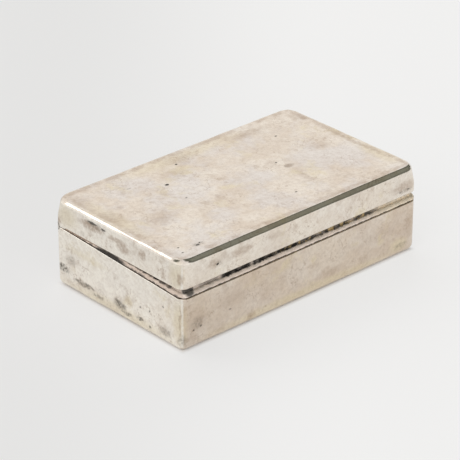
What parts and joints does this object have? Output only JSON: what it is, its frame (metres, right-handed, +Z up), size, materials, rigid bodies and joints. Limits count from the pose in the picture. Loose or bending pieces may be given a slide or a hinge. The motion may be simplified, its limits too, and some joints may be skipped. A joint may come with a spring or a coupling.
{
  "type": "stamp box",
  "caption": "Low rectangular silver stamp box with a hinged lid on a flush five-knuckle hinge, a moulded lip and groove under the lid wall and curved wells inside.",
  "frame": {"origin": "middle of the flat underside", "axes": "+X along the length, -Y to the front where the lid lifts, +Z up"},
  "size_m": [0.08, 0.048, 0.0244],
  "materials": {
    "silver": "old polished sterling silver, warm, mottled and finely scratched",
    "silver_gilt": "satin gilding on silver",
    "hinge_silver": "worn silver tube and wire"
  },
  "bodies": {
    "base": {"base_pan": "silver", "base_bezel": "silver_gilt", "base_hinge_bearer": "silver_gilt", "base_knuckle_left": "hinge_silver", "base_knuckle_middle": "hinge_silver", "base_knuckle_right": "hinge_silver", "hinge_pin": "hinge_silver", "pin_plug_left": "hinge_silver", "pin_plug_right": "hinge_silver", "divider_left": "silver_gilt", "divider_right": "silver_gilt", "stamp_floor_left": "silver_gilt", "stamp_floor_middle": "silver_gilt", "stamp_floor_right": "silver_gilt"},
    "lid": {"lid_pan": "silver", "lid_lip": "silver", "lid_hinge_bearer": "silver_gilt", "lid_knuckle_left": "hinge_silver", "lid_knuckle_right": "hinge_silver"}
  },
  "joints": [
    {"name": "lid_hinge", "type": "hinge", "parent": "base", "child": "lid", "pos_m": [0, 0.0231, 0.0167], "axis": [-1, 0, 0], "range_deg": [0, 100]}
  ]
}
